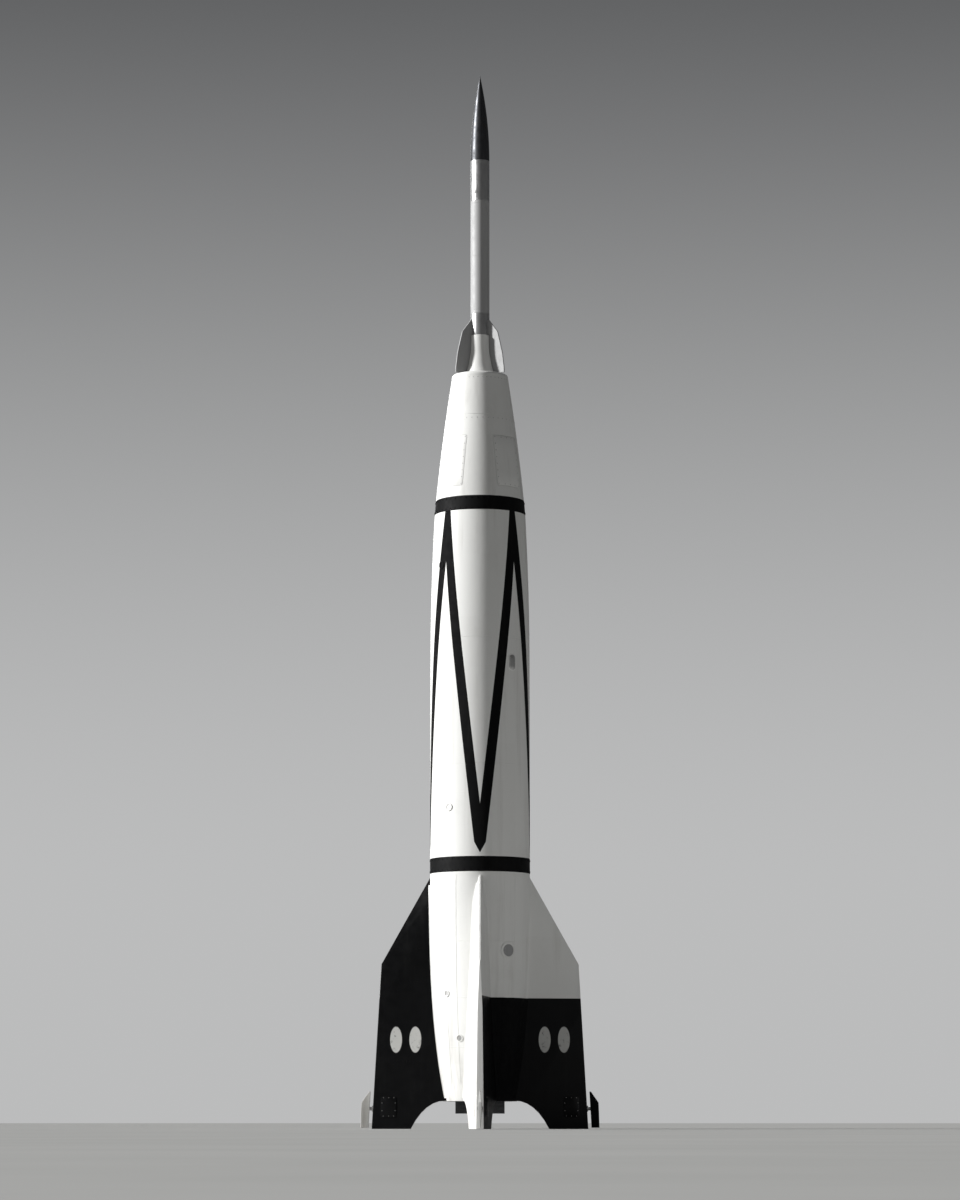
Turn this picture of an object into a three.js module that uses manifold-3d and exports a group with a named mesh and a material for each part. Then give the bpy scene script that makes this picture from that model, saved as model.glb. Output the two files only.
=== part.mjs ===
// Two-stage liquid-fuel sounding rocket, standing on its four fins.
// Millimetres, +Z up. The origin is on the axis, at the plane of the fins' feet.
// Fin 1 points to -Y, fin 2 to +X, fin 3 to +Y and fin 4 to -X.
import * as THREE from "three";
import { ConvexGeometry } from "three/addons/geometries/ConvexGeometry.js";
import * as BufferGeometryUtils from "three/addons/utils/BufferGeometryUtils.js";
import Module from "manifold-3d";

const wasm = await Module();
wasm.setup();

// Driving dimensions
const overallHeight = 17800;
const bodyRadius = 825.5;
const tailRimHeight = 450;
const tailRimRadius = 610;
const tailCurve = 2.8;
const tailJointHeight = 4310;
const ogiveStartHeight = 7700;
const ogiveArcRadius = 46000;
const bayJointHeight = 10320;
const noseTopHeight = 12520;
const noseTopRadius = 475;
const noseStartSlope = 0.095;
const finSpanRadius = 1780;
const upperRadius = 160;
const upperBaseHeight = 11950;
const upperNoseHeight = 16300;
const gap = 0.3;
const finCount = 4;
const quarterTurn = Math.PI / 2;

// Radius of the first stage's outer skin at a height above the feet
function skinRadius(height) {
  if (height <= tailJointHeight) {
    const share = (height - tailRimHeight) / (tailJointHeight - tailRimHeight);
    return tailRimRadius + (bodyRadius - tailRimRadius) * (1 - (1 - share) ** tailCurve);
  }
  if (height <= ogiveStartHeight) return bodyRadius;
  if (height <= bayJointHeight) {
    return bodyRadius - (height - ogiveStartHeight) ** 2 / (2 * ogiveArcRadius);
  }
  const rise = height - bayJointHeight;
  const length = noseTopHeight - bayJointHeight;
  const baseRadius = skinRadius(bayJointHeight);
  const bend = (baseRadius - noseTopRadius - noseStartSlope * length) / length ** 2;
  return baseRadius - noseStartSlope * rise - bend * rise ** 2;
}

const finishes = {
  whitePaint: { color: 0xe6e6e2, roughness: 0.45, metalness: 0 },
  blackPaint: { color: 0x15161a, roughness: 0.5, metalness: 0 },
  bareMetal: { color: 0x8d9094, roughness: 0.4, metalness: 0.8 },
  darkMetal: { color: 0x3a3c3f, roughness: 0.5, metalness: 0.7 },
  silverPaint: { color: 0xc9cbcc, roughness: 0.4, metalness: 0.3 },
  graphite: { color: 0x2a2a2c, roughness: 0.75, metalness: 0 },
};

const rocket = new THREE.Group();

function add(name, geometry, finish, turn = 0) {
  const shape = geometry.toNonIndexed();
  shape.computeVertexNormals();
  const mesh = new THREE.Mesh(shape, new THREE.MeshStandardMaterial(finishes[finish]));
  mesh.name = name;
  mesh.rotation.z = turn;
  rocket.add(mesh);
}

// A closed mesh with shared vertices, no empty triangles and its faces outwards
function welded(geometry) {
  const bare = geometry.clone();
  bare.deleteAttribute("normal");
  bare.deleteAttribute("uv");
  const merged = BufferGeometryUtils.mergeVertices(bare, 1e-3);
  const place = merged.attributes.position;
  const index = [];
  let volume = 0;
  const [a, b, c] = [new THREE.Vector3(), new THREE.Vector3(), new THREE.Vector3()];
  for (let i = 0; i < merged.index.count; i += 3) {
    const [p, q, r] = [0, 1, 2].map((k) => merged.index.getX(i + k));
    if (p === q || q === r || r === p) continue;
    a.fromBufferAttribute(place, p);
    b.fromBufferAttribute(place, q);
    c.fromBufferAttribute(place, r);
    volume += a.dot(b.cross(c));
    index.push(p, q, r);
  }
  if (volume < 0) index.reverse();
  merged.setIndex(index);
  return merged;
}

function toSolid(geometry) {
  const shape = welded(geometry);
  const vertProperties = new Float32Array(shape.attributes.position.array);
  const triVerts = new Uint32Array(shape.index.array);
  return new wasm.Manifold(new wasm.Mesh({ numProp: 3, vertProperties, triVerts }));
}

function toGeometry(solid) {
  const mesh = solid.getMesh();
  const geometry = new THREE.BufferGeometry();
  geometry.setAttribute("position", new THREE.BufferAttribute(mesh.vertProperties, 3));
  geometry.setIndex(new THREE.BufferAttribute(mesh.triVerts, 1));
  return geometry;
}

// A turned piece from [radius, height] points, about Z
function turned(profile, sides) {
  const points = profile.map(([radius, height]) => new THREE.Vector2(radius, height));
  return welded(new THREE.LatheGeometry(points, sides).rotateX(quarterTurn));
}

// A ring or shell: its profile closes on itself
function turnedRing(profile, sides) {
  return turned([...profile, profile[0]], sides);
}

// A plate from a [radius, height] outline, its middle plane in XZ
function plate(outline, thickness) {
  const shape = new THREE.Shape(outline.map(([radius, height]) => new THREE.Vector2(radius, height)));
  const solid = new THREE.ExtrudeGeometry(shape, { depth: thickness, bevelEnabled: false });
  return solid.rotateX(quarterTurn).translate(0, thickness / 2, 0);
}

// A box between two corners
function block(low, high) {
  const size = high.map((value, k) => value - low[k]);
  const middle = high.map((value, k) => (value + low[k]) / 2);
  return new THREE.BoxGeometry(...size).translate(...middle);
}

// A round bar along X
function barAlongX(radius, start, end, height, sides = 16) {
  const bar = new THREE.CylinderGeometry(radius, radius, end - start, sides);
  return bar.rotateZ(quarterTurn).translate((start + end) / 2, 0, height);
}

// A blade in the XZ plane, from rows of height, inner and outer radius, and half thickness
function wedge(rows) {
  const points = rows.flatMap(({ height, inner, outer, half }) =>
    [inner, outer].flatMap((x) => [-half, half].map((y) => new THREE.Vector3(x, y, height))),
  );
  return toSolid(new ConvexGeometry(points));
}

// Outer skin points between two heights, moved inwards by an inset
function skinPoints(low, high, steps, inset = 0) {
  return Array.from({ length: steps + 1 }, (_, k) => {
    const height = low + ((high - low) * k) / steps;
    return [skinRadius(height) - inset, height];
  });
}

const bodySides = 64;
const bandHeight = { tail: 250, bay: 240 };
const bandProud = 4;
const tailWall = 30;

// Turn about Z of fin n, counted from fin 1 at -Y
const finTurn = (n) => (n - 2) * quarterTurn;

// Tail shell: an open boat-tailed skin around the motor bay
const tailTop = tailJointHeight - bandHeight.tail / 2;
const tailSteps = 9;
add(
  "tail_shell",
  turnedRing(
    [
      ...skinPoints(tailRimHeight, tailTop, tailSteps),
      ...skinPoints(tailRimHeight, tailTop, tailSteps, tailWall).reverse(),
    ],
    bodySides,
  ),
  "whitePaint",
);

// Section joints: black rings, a little proud of the skin
const bandDepth = 120;
function jointRing(name, middle, height) {
  const low = middle - height / 2 + gap;
  const high = middle + height / 2 - gap;
  const inner = skinRadius(high) - bandDepth;
  const profile = [
    [inner, low],
    [skinRadius(low) + bandProud, low],
    [skinRadius(high) + bandProud, high],
    [inner, high],
  ];
  add(name, turnedRing(profile, bodySides), "blackPaint");
}
jointRing("tail_joint_ring", tailJointHeight, bandHeight.tail);
jointRing("bay_joint_ring", bayJointHeight, bandHeight.bay);

// Tank section: the two tanks' closed skin, necked inside the joint rings
const neckInset = bandDepth + 2;
const tankLow = tailJointHeight + bandHeight.tail / 2;
const tankHigh = bayJointHeight - bandHeight.bay / 2;
const tailNeckRadius = skinRadius(tailJointHeight) - neckInset;
const bayNeckRadius = skinRadius(bayJointHeight + bandHeight.bay / 2) - neckInset;
add(
  "tank_section",
  turned(
    [
      [0, tailTop],
      [tailNeckRadius, tailTop],
      [tailNeckRadius, tankLow],
      ...skinPoints(tankLow, ogiveStartHeight, 1),
      ...skinPoints(ogiveStartHeight, tankHigh, 8).slice(1),
      [bayNeckRadius, tankHigh],
      [bayNeckRadius, bayJointHeight],
      [0, bayJointHeight],
    ],
    bodySides,
  ),
  "whitePaint",
);

// Motor: chamber and pumps as one block, and the bell below it
const motor = { radius: 470, low: 1500, coneHeight: 350 };
const bell = {
  throatRadius: 205,
  waistRadius: 267,
  waistHeight: 1180,
  exitRadius: 370,
  exitHeight: 620,
  wall: 20,
};
add(
  "motor_block",
  turned(
    [
      [0, motor.low],
      [bell.throatRadius, motor.low],
      [motor.radius, motor.low + motor.coneHeight],
      [motor.radius, tailTop - gap],
      [0, tailTop - gap],
    ],
    32,
  ),
  "darkMetal",
);
add(
  "nozzle_bell",
  turnedRing(
    [
      [bell.exitRadius, bell.exitHeight],
      [bell.waistRadius, bell.waistHeight],
      [bell.throatRadius, motor.low - gap],
      [bell.throatRadius - bell.wall, motor.low - gap],
      [bell.waistRadius - bell.wall, bell.waistHeight],
      [bell.exitRadius - bell.wall, bell.exitHeight],
    ],
    40,
  ),
  "darkMetal",
);

// Base bulkhead between the bell and the tail skin, with two holes for the turbine's exhaust
const bulkhead = { low: 570, high: 595, innerRadius: 385 };
const exhaust = { middle: 442, radius: 42, wall: 5, low: 500, high: 700, turns: [0.5, 2.5] };
const facetMargin = 10;
function makeBulkhead() {
  const edge = skinRadius(bulkhead.low) - tailWall - facetMargin;
  const ring = toSolid(
    turnedRing(
      [
        [bulkhead.innerRadius, bulkhead.low],
        [edge, bulkhead.low],
        [edge, bulkhead.high],
        [bulkhead.innerRadius, bulkhead.high],
      ],
      bodySides,
    ),
  );
  return toGeometry(
    exhaust.turns.reduce((solid, turn) => {
      const hole = new THREE.CylinderGeometry(exhaust.radius + gap, exhaust.radius + gap, 200, 16);
      hole.rotateX(quarterTurn).translate(exhaust.middle, 0, bulkhead.low).rotateZ(turn * quarterTurn);
      return solid.subtract(toSolid(hole));
    }, ring),
  );
}
add("base_bulkhead", makeBulkhead(), "bareMetal");

// Turbine exhaust: two short pipes through the bulkhead
exhaust.turns.forEach((turn, k) => {
  const profile = [
    [exhaust.radius - exhaust.wall, exhaust.low],
    [exhaust.radius, exhaust.low],
    [exhaust.radius, exhaust.high],
    [exhaust.radius - exhaust.wall, exhaust.high],
  ];
  const pipe = turnedRing(profile, 16).translate(exhaust.middle, 0, 0);
  add(`exhaust_pipe_${k + 1}`, pipe, "darkMetal", turn * quarterTurn);
});

// Aft ring inside the tail rim: it carries the jet vanes' bearings
const vane = { axisHeight: 505, shaftRadius: 26, boreRadius: 27.5, inner: 175, outer: 405 };
const aftRing = { low: 452, high: bulkhead.low - gap, inner: 500, bearingInner: 430, bearingHalf: 55 };
function makeAftRing() {
  const outer = skinRadius(tailRimHeight) - tailWall - 1;
  const { low, high, inner, bearingInner, bearingHalf } = aftRing;
  let ring = toSolid(
    turnedRing(
      [
        [inner, low],
        [outer, low],
        [outer, high],
        [inner, high],
      ],
      bodySides,
    ),
  );
  for (let n = 1; n <= finCount; n += 1) {
    const bearing = toSolid(block([bearingInner, -bearingHalf, low], [inner + 20, bearingHalf, high]));
    const bore = toSolid(barAlongX(vane.boreRadius, bearingInner - 30, inner + 60, vane.axisHeight));
    const angle = (finTurn(n) * 180) / Math.PI;
    ring = ring.add(bearing.rotate([0, 0, angle])).subtract(bore.rotate([0, 0, angle]));
  }
  return toGeometry(ring);
}
add("aft_ring", makeAftRing(), "bareMetal");

// Jet vanes: graphite blades that hang in the bell's mouth
function makeJetVane() {
  const { inner, outer, axisHeight, shaftRadius } = vane;
  const chord = [
    { height: 560, half: 10 },
    { height: axisHeight, half: 30 },
    { height: 400, half: 24 },
    { height: 250, half: 6 },
  ];
  const blade = wedge(chord.map((row) => ({ ...row, inner, outer })));
  const shaft = toSolid(barAlongX(shaftRadius, inner + 120, aftRing.inner + 45, axisHeight));
  return toGeometry(blade.add(shaft));
}

// Fins: thick wedge sections whose feet carry the rocket
const fin = {
  rootTop: [825, 4130],
  corner: [1630, 2700],
  foot: [finSpanRadius, 0],
  heel: [1140, 0],
  cutBend: [900, 470],
  rim: [560, 460],
  edgeHalf: 12,
  rootHalf: 140,
  heelHalf: 300,
  outerHalf: 45,
  footHalf: 66,
  ridgeSetback: 600,
};
const rudder = { axisHeight: 330, shaftRadius: 28, boreRadius: 29.5, inset: 55 };
const insideRadius = 500;

// Radius of a fin's outer edge at a height
function finEdge(height) {
  const share = height / fin.corner[1];
  return fin.foot[0] + (fin.corner[0] - fin.foot[0]) * share;
}

// The fin's side view: straight edges, and a curved cut from the heel to the tail rim
function finOutline() {
  const point = ([radius, height]) => new THREE.Vector2(radius, height);
  const cut = new THREE.QuadraticBezierCurve(point(fin.heel), point(fin.cutBend), point(fin.rim));
  return [
    fin.corner,
    fin.rootTop,
    [insideRadius, fin.rootTop[1]],
    [insideRadius, fin.rim[1]],
    ...cut.getPoints(6).reverse().map(({ x, y }) => [x, y]),
    fin.foot,
  ];
}

function makeFin() {
  const sweep = (fin.rootTop[1] - fin.corner[1]) / (fin.rootTop[0] - fin.corner[0]);
  const edgeTop = fin.corner[1] + sweep * (insideRadius - fin.corner[0]);
  const outerRidge = 1900;
  const section = [
    { radius: insideRadius, height: edgeTop, half: fin.edgeHalf },
    { radius: fin.corner[0], height: fin.corner[1], half: fin.edgeHalf },
    { radius: insideRadius, height: edgeTop - fin.ridgeSetback, half: fin.rootHalf },
    { radius: finEdge(outerRidge), height: outerRidge, half: fin.outerHalf },
    { radius: insideRadius, height: 0, half: fin.heelHalf },
    { radius: finSpanRadius, height: 0, half: fin.footHalf },
  ];
  const body = wedge(section.map(({ radius, ...row }) => ({ ...row, inner: radius, outer: radius })));
  const skin = turned(
    [
      [0, 0],
      [skinRadius(tailRimHeight) + gap, 0],
      ...skinPoints(tailRimHeight, tailTop, tailSteps, -gap),
      [0, tailTop],
    ],
    bodySides,
  );
  const bore = barAlongX(rudder.boreRadius, 1600, 1900, rudder.axisHeight);
  const side = toSolid(plate(finOutline(), 2.5 * fin.heelHalf));
  return toGeometry(side.intersect(body).subtract(toSolid(skin)).subtract(toSolid(bore)));
}

// Air rudders: small outboard blades at the fins' lower corners
function makeRudder() {
  const rows = [
    { height: 610, outer: finEdge(610) + rudder.inset + 25, half: 8 },
    { height: 430, outer: 1950, half: 24 },
    { height: rudder.axisHeight, outer: 1955, half: 31 },
    { height: 20, outer: 1965, half: 7 },
  ];
  const blade = wedge(rows.map((row) => ({ ...row, inner: finEdge(row.height) + rudder.inset })));
  const shaft = toSolid(barAlongX(rudder.shaftRadius, 1620, 1870, rudder.axisHeight));
  return toGeometry(blade.add(shaft));
}

for (let n = 1; n <= finCount; n += 1) {
  add(`fin_${n}`, makeFin(), n % 2 ? "whitePaint" : "blackPaint", finTurn(n));
  add(`air_rudder_${n}`, makeRudder(), "blackPaint", finTurn(n));
  add(`jet_vane_${n}`, makeJetVane(), "graphite", finTurn(n));
}

// Instrument bay, with four bolted hatches between the planes of the fins
const bayTop = 11750;
const hatch = { low: 10620, high: 11480, width: 520, depth: 12, seam: 4, proud: 1 };
function hatchBlock(margin) {
  const half = hatch.width / 2 + margin;
  return toSolid(block([300, -half, hatch.low - margin], [1000, half, hatch.high + margin]));
}

function bayBody(inset, low, high) {
  const points = skinPoints(low, high, 6, inset);
  return turned([[0, low], ...points, [0, high]], bodySides);
}

function makeHatch() {
  const outer = toSolid(bayBody(-hatch.proud, hatch.low - 50, hatch.high + 50));
  const inner = toSolid(bayBody(hatch.depth - gap, hatch.low - 80, hatch.high + 80));
  return toGeometry(outer.subtract(inner).intersect(hatchBlock(0)));
}

function makeBay() {
  const bayLow = bayJointHeight + bandHeight.bay / 2;
  const neck = [
    [0, bayJointHeight + gap],
    [bayNeckRadius, bayJointHeight + gap],
    [bayNeckRadius, bayLow],
  ];
  let bay = toSolid(turned([...neck, ...skinPoints(bayLow, bayTop, 8), [0, bayTop]], bodySides));
  const core = toSolid(bayBody(hatch.depth, hatch.low - 60, hatch.high + 60));
  for (let n = 1; n <= finCount; n += 1) {
    const recess = hatchBlock(hatch.seam).rotate([0, 0, 45 + 90 * n]);
    bay = bay.subtract(recess.subtract(core));
  }
  return toGeometry(bay);
}
add("instrument_bay", makeBay(), "whitePaint");
for (let n = 1; n <= finCount; n += 1) {
  add(`bay_hatch_${n}`, makeHatch(), "whitePaint", finTurn(n) + quarterTurn / 2);
}

// Nose fairing: the hollow top of the first stage, around the second stage's tail
const noseWall = 25;
add(
  "nose_fairing",
  turnedRing(
    [
      ...skinPoints(bayTop + gap, noseTopHeight, 5),
      ...skinPoints(bayTop + gap, noseTopHeight, 5, noseWall).reverse(),
    ],
    bodySides,
  ),
  "whitePaint",
);

// The second stage has three fins: 1 and 2 to either side of fin 1 of the first stage, and 3 above fin 3
const upperFinCount = 3;
const upperFinTurn = (n) => quarterTurn * ((4 * n) / upperFinCount - 3);

// Nose cap: rounded shoulder and a slotted collar that guides the second stage's fins
const slot = { reach: 427, width: 48 };
const collar = {
  base: [294, 12595],
  flare: [246, 12720],
  waist: [194, 12980],
  rim: [184, 13270],
  wall: 11,
};
const shoulder = { height: 12595, radius: 444, edgeHeight: 12575, edgeRadius: 464 };
function makeNoseCap() {
  const low = noseTopHeight + gap;
  const { base, flare, waist, rim, wall } = collar;
  let cap = toSolid(
    turnedRing(
      [
        [noseTopRadius, low],
        [shoulder.edgeRadius, shoulder.edgeHeight],
        [shoulder.radius, shoulder.height],
        base,
        flare,
        waist,
        rim,
        [rim[0] - wall, rim[1]],
        [waist[0] - wall, waist[1]],
        [flare[0] - wall, flare[1]],
        [base[0] - wall, low],
      ],
      bodySides,
    ),
  );
  for (let n = 1; n <= upperFinCount; n += 1) {
    const half = slot.width / 2;
    const deep = toSolid(block([0, -half, low - 50], [slot.reach, half, rim[1] + 50]));
    cap = cap.subtract(deep.rotate([0, 0, (upperFinTurn(n) * 180) / Math.PI]));
  }
  return toGeometry(cap);
}
add("nose_cap", makeNoseCap(), "whitePaint");

// Seat that carries the second stage inside the nose
add(
  "upper_stage_seat",
  turnedRing(
    [
      [125, bayTop + gap],
      [230, bayTop + gap],
      [170, upperBaseHeight - gap],
      [125, upperBaseHeight - gap],
    ],
    32,
  ),
  "bareMetal",
);

// Second stage
const upperSides = 36;
const upperSection = [
  { name: "upper_tail_section", low: upperBaseHeight, high: 13650, finish: "silverPaint" },
  { name: "upper_tank_section", low: 13650, high: 15600, finish: "silverPaint" },
  { name: "upper_bay_section", low: 15600, high: upperNoseHeight, finish: "silverPaint" },
];
for (const { name, low, high, finish } of upperSection) {
  const profile = [
    [0, low + gap],
    [upperRadius, low + gap],
    [upperRadius, high],
    [0, high],
  ];
  add(name, turned(profile, upperSides), finish);
}

// Radius of the second stage's ogive nose
function upperNoseRadius(height) {
  const length = overallHeight - upperNoseHeight;
  const arc = (upperRadius ** 2 + length ** 2) / (2 * upperRadius);
  return Math.sqrt(arc ** 2 - (height - upperNoseHeight) ** 2) - (arc - upperRadius);
}
const noseSteps = 8;
const nosePoints = Array.from({ length: noseSteps }, (_, k) => {
  const height = upperNoseHeight + gap + ((overallHeight - upperNoseHeight - gap) * k) / noseSteps;
  return [upperNoseRadius(height), height];
});
add(
  "upper_nose_cone",
  turned([[0, upperNoseHeight + gap], ...nosePoints, [0, overallHeight]], upperSides),
  "darkMetal",
);

add(
  "upper_nozzle",
  turnedRing(
    [
      [105, 11800],
      [58, upperBaseHeight - gap],
      [46, upperBaseHeight - gap],
      [93, 11800],
    ],
    24,
  ),
  "darkMetal",
);

// The second stage's fins: narrow inside the nose, and wider above the nose cap's shoulder
const upperFin = {
  thickness: 24,
  low: 12050,
  innerRadius: 412,
  tip: { radius: 475, low: 12610, high: 12690 },
  bulge: [440, 12960],
  bend: [350, 13320],
  top: 13580,
};
function makeUpperFin() {
  const { low, innerRadius, tip, bulge, bend, top } = upperFin;
  const outline = [
    [100, low],
    [innerRadius, low],
    [innerRadius, tip.low],
    [tip.radius, tip.low],
    [tip.radius, tip.high],
    bulge,
    bend,
    [upperRadius - 10, top],
    [100, top],
  ];
  const core = turned(
    [
      [0, low - 50],
      [upperRadius + gap, low - 50],
      [upperRadius + gap, top + 50],
      [0, top + 50],
    ],
    upperSides,
  );
  return toGeometry(toSolid(plate(outline, upperFin.thickness)).subtract(toSolid(core)));
}
for (let n = 1; n <= upperFinCount; n += 1) {
  add(`upper_fin_${n}`, makeUpperFin(), "silverPaint", upperFinTurn(n));
}

export default rocket;
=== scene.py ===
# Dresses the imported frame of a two-stage sounding rocket that stands on its fins.
# Metres, Z up. Fin 1 points at the camera (-Y), fin 2 to +X, fin 3 to +Y and fin 4 to -X.
import math
import bpy
import bmesh
from mathutils import Matrix, Vector
from mathutils.bvhtree import BVHTree


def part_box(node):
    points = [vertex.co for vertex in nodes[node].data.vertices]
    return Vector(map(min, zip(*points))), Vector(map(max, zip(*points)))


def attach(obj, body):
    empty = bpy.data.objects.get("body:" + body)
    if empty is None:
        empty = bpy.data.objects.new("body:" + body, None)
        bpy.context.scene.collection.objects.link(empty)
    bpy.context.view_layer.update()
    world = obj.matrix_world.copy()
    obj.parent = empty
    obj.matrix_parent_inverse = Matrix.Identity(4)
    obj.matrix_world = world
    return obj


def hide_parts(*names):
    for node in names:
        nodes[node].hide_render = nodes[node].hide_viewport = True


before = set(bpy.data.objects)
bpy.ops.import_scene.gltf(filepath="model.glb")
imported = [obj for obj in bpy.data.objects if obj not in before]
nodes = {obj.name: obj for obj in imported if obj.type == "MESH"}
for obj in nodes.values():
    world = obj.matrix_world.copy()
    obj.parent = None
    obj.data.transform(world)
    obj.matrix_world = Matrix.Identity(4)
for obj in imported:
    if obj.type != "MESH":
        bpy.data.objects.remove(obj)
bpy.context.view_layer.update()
finNumbers = (1, 2, 3, 4)
upperFinNumbers = (1, 2, 3)
print("frame loaded:", len(nodes), "nodes")

# The first stage's skin, as the frame has it
skin = {
    "rimHeight": 0.45, "rimRadius": 0.61, "tailCurve": 2.8, "tailJoint": 4.31, "radius": 0.8255,
    "ogiveStart": 7.7, "ogiveArc": 46.0, "bayJoint": 10.32,
    "noseTop": 12.52, "noseTopRadius": 0.475, "noseSlope": 0.095,
}


def skinRadius(height):
    if height <= skin["tailJoint"]:
        share = max(height - skin["rimHeight"], 0) / (skin["tailJoint"] - skin["rimHeight"])
        swell = skin["radius"] - skin["rimRadius"]
        return skin["rimRadius"] + swell * (1 - (1 - share) ** skin["tailCurve"])
    if height <= skin["ogiveStart"]:
        return skin["radius"]
    if height <= skin["bayJoint"]:
        return skin["radius"] - (height - skin["ogiveStart"]) ** 2 / (2 * skin["ogiveArc"])
    rise = height - skin["bayJoint"]
    length = skin["noseTop"] - skin["bayJoint"]
    base = skinRadius(skin["bayJoint"])
    bend = (base - skin["noseTopRadius"] - skin["noseSlope"] * length) / length ** 2
    return base - skin["noseSlope"] * rise - bend * rise ** 2


def finAngle(n):
    return math.radians(90 * (n - 2))


def upperFinAngle(n):
    return math.radians(120 * n - 270)


# Lowest and highest level of a node
def levels(nodeName):
    low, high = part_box(nodeName)
    return low.z, high.z


# A place turned round the axis
def turned(angle, x, y=0.0, z=0.0):
    return Matrix.Rotation(angle, 4, "Z") @ Matrix.Translation((x, y, z))


# Angles spread evenly round the axis
def around(count, start=0.5):
    return [math.tau * (k + start) / count for k in range(count)]


faceDown = Matrix.Rotation(math.pi, 4, "X")
lieOutward = Matrix.Rotation(math.pi / 2, 4, "Y")


# Shader maths: a signal is one output in a material's node tree
class Signal:
    def __init__(self, tree, socket):
        self.tree = tree
        self.socket = socket

    # Adds any node: its settings first, then the values or links of its sockets
    def node(self, kind, inputs, output=0, **settings):
        made = self.tree.nodes.new("ShaderNode" + kind)
        for setting, value in settings.items():
            setattr(made, setting, value)
        for name, value in inputs.items():
            self.feed(made.inputs[name], value)
        return Signal(self.tree, made.outputs[output])

    def feed(self, socket, value):
        if isinstance(value, Signal):
            self.tree.links.new(value.socket, socket)
        else:
            socket.default_value = value

    def maths(self, operation, *others):
        return self.node("Math", dict(enumerate((self, *others))), operation=operation)

    def __add__(self, other): return self.maths("ADD", other)
    def __radd__(self, other): return self.maths("ADD", other)
    def __sub__(self, other): return self.maths("SUBTRACT", other)
    def __rsub__(self, other): return self.node("Math", {0: other, 1: self}, operation="SUBTRACT")
    def __mul__(self, other): return self.maths("MULTIPLY", other)
    def __rmul__(self, other): return self.maths("MULTIPLY", other)
    def __truediv__(self, other): return self.maths("DIVIDE", other)
    def __lt__(self, other): return self.maths("LESS_THAN", other)
    def __abs__(self): return self.maths("ABSOLUTE")
    def smallest(self, other): return self.maths("MINIMUM", other)
    def largest(self, other): return self.maths("MAXIMUM", other)

    # 0 below low, 1 above high, smooth between
    def rise(self, low, high):
        ends = {"Value": self, "From Min": low, "From Max": high}
        return self.node("MapRange", ends, interpolation_type="SMOOTHSTEP")

    # Self is the factor between two colours
    def between(self, first, second):
        return self.node("Mix", {0: self, 6: first, 7: second}, output=2, data_type="RGBA")


def rgba(red, green=None, blue=None):
    return (red, red if green is None else green, red if blue is None else blue, 1)


# A material's tree, its object coordinates and the values taken from them
class Paint:
    def __init__(self, name):
        self.material = bpy.data.materials.new(name)
        self.material.use_nodes = True
        tree = self.material.node_tree
        self.sockets = tree.nodes["Principled BSDF"].inputs
        self.place = Signal(tree, None).node("TexCoord", {}, output=3)
        self.x, self.y, self.z = [self.place.node("SeparateXYZ", {0: self.place}, output=k) for k in range(3)]
        self.turn = self.y.maths("ARCTAN2", self.x)

    def noise(self, scale, detail=4, roughness=0.55, stretch=(1, 1, 1)):
        spread = self.place.node("Mapping", {"Vector": self.place, "Scale": stretch})
        sockets = {"Vector": spread, "Scale": scale, "Detail": detail, "Roughness": roughness}
        return spread.node("TexNoise", sockets)

    def finish(self, colour, roughness, metallic=0.0, bump=None, bumpDepth=0.001, specular=0.5):
        self.sockets["Specular IOR Level"].default_value = specular
        for name, value in (("Base Color", colour), ("Roughness", roughness), ("Metallic", metallic)):
            self.place.feed(self.sockets[name], value)
        if bump is not None:
            bumped = bump.node("Bump", {"Height": bump, "Strength": 1.0, "Distance": bumpDepth})
            self.place.feed(self.sockets["Normal"], bumped)
        return self.material


# Paint scheme of the first stage
scheme = {
    "white": (0.76, 0.76, 0.74), "grime": (0.33, 0.31, 0.28), "black": (0.0022, 0.0023, 0.0026),
    "dust": (0.018, 0.0175, 0.0165), "mark": (0.52, 0.52, 0.50), "soot": (0.03, 0.027, 0.025), "specular": 0.14,
    "blackTop": 2.13,  # the lower part of two opposite quarters is black up to here
    "markHeight": 1.456, "markRadii": (1.064, 1.382), "markHalf": (0.099, 0.215),
    "lineLow": 4.57, "lineHigh": 10.07, "lineWidth": 0.172, "lineTip": 4.49, "tipSlope": 0.55,
    "edgeSoft": 0.002,  # half the width over which a painted edge fades
}

# How the first stage's paints have worn: amounts of 0 to 1, heights in metres
wear = {
    "streaks": 0.20, "mottle": 0.12, "plateTone": 0.035, "plateTall": 1.05, "platesRound": 16, "most": 0.85,
    "rimSoot": 0.65, "rimFrom": 0.30, "rimTo": 2.2, "blackStreaks": 0.30, "blackSpecks": 0.10, "markLeft": 0.95,
}

# Where the frames show under the skins, and how deep their rows of welds and the skin's waves are
relief = {
    "tail": (0.82, 1.32, 1.72, 2.13, 2.58, 3.05, 3.45, 3.83), "tank": [4.96 + 0.524 * k for k in range(10)],
    "bay": (10.5, 11.6, 11.84, 12.2), "fin": (0.62, 1.1, 1.75, 2.4, 2.95),
    "weldsRound": 240, "weldHalf": 0.006, "weldSoft": 0.003, "weldShare": 0.5, "waveShare": 0.9,
    "skinDepth": 0.0022, "finDepth": 0.0016,
}


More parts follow.
